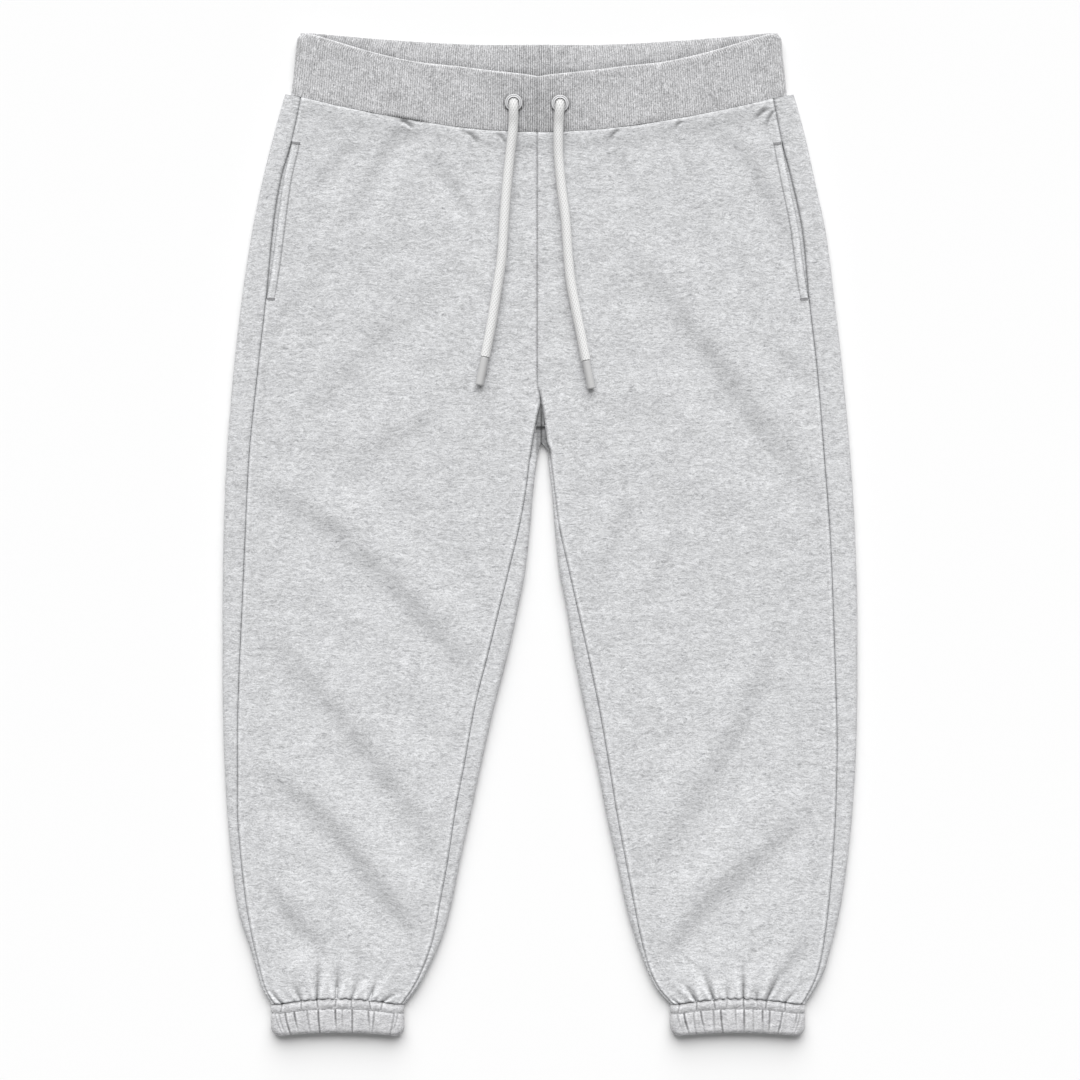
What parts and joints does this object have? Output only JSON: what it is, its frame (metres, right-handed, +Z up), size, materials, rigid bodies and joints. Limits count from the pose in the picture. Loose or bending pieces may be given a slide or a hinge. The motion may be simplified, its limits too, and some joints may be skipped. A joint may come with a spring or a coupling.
{
  "type": "jogger sweatpants",
  "caption": "Jogger sweatpants laid flat on their back, with a ribbed drawstring waistband, side pockets and gathered elastic cuffs.",
  "frame": {"origin": "on the surface that the garment lies on, under the middle of its outline", "axes": "+X towards the wearer's left, +Y from the cuffs to the waist, +Z up from the surface"},
  "size_m": [0.5906, 0.9336, 0.0213],
  "materials": {
    "fleece": "light grey heather brushed fleece",
    "rib_knit": "light grey heather fine vertical rib",
    "cord_braid": "off-white braided cord",
    "tip_plastic": "smooth satin tip",
    "eyelet_metal": "light grey lacquered metal"
  },
  "bodies": {
    "root": {"front_right": "fleece", "back_right": "fleece", "cuff_right": "fleece", "pocket_facing_right": "fleece", "eyelet_right": "eyelet_metal", "cord_right": "cord_braid", "tip_right": "tip_plastic", "front_left": "fleece", "back_left": "fleece", "cuff_left": "fleece", "pocket_facing_left": "fleece", "eyelet_left": "eyelet_metal", "cord_left": "cord_braid", "tip_left": "tip_plastic", "waistband": "rib_knit"}
  },
  "joints": []
}
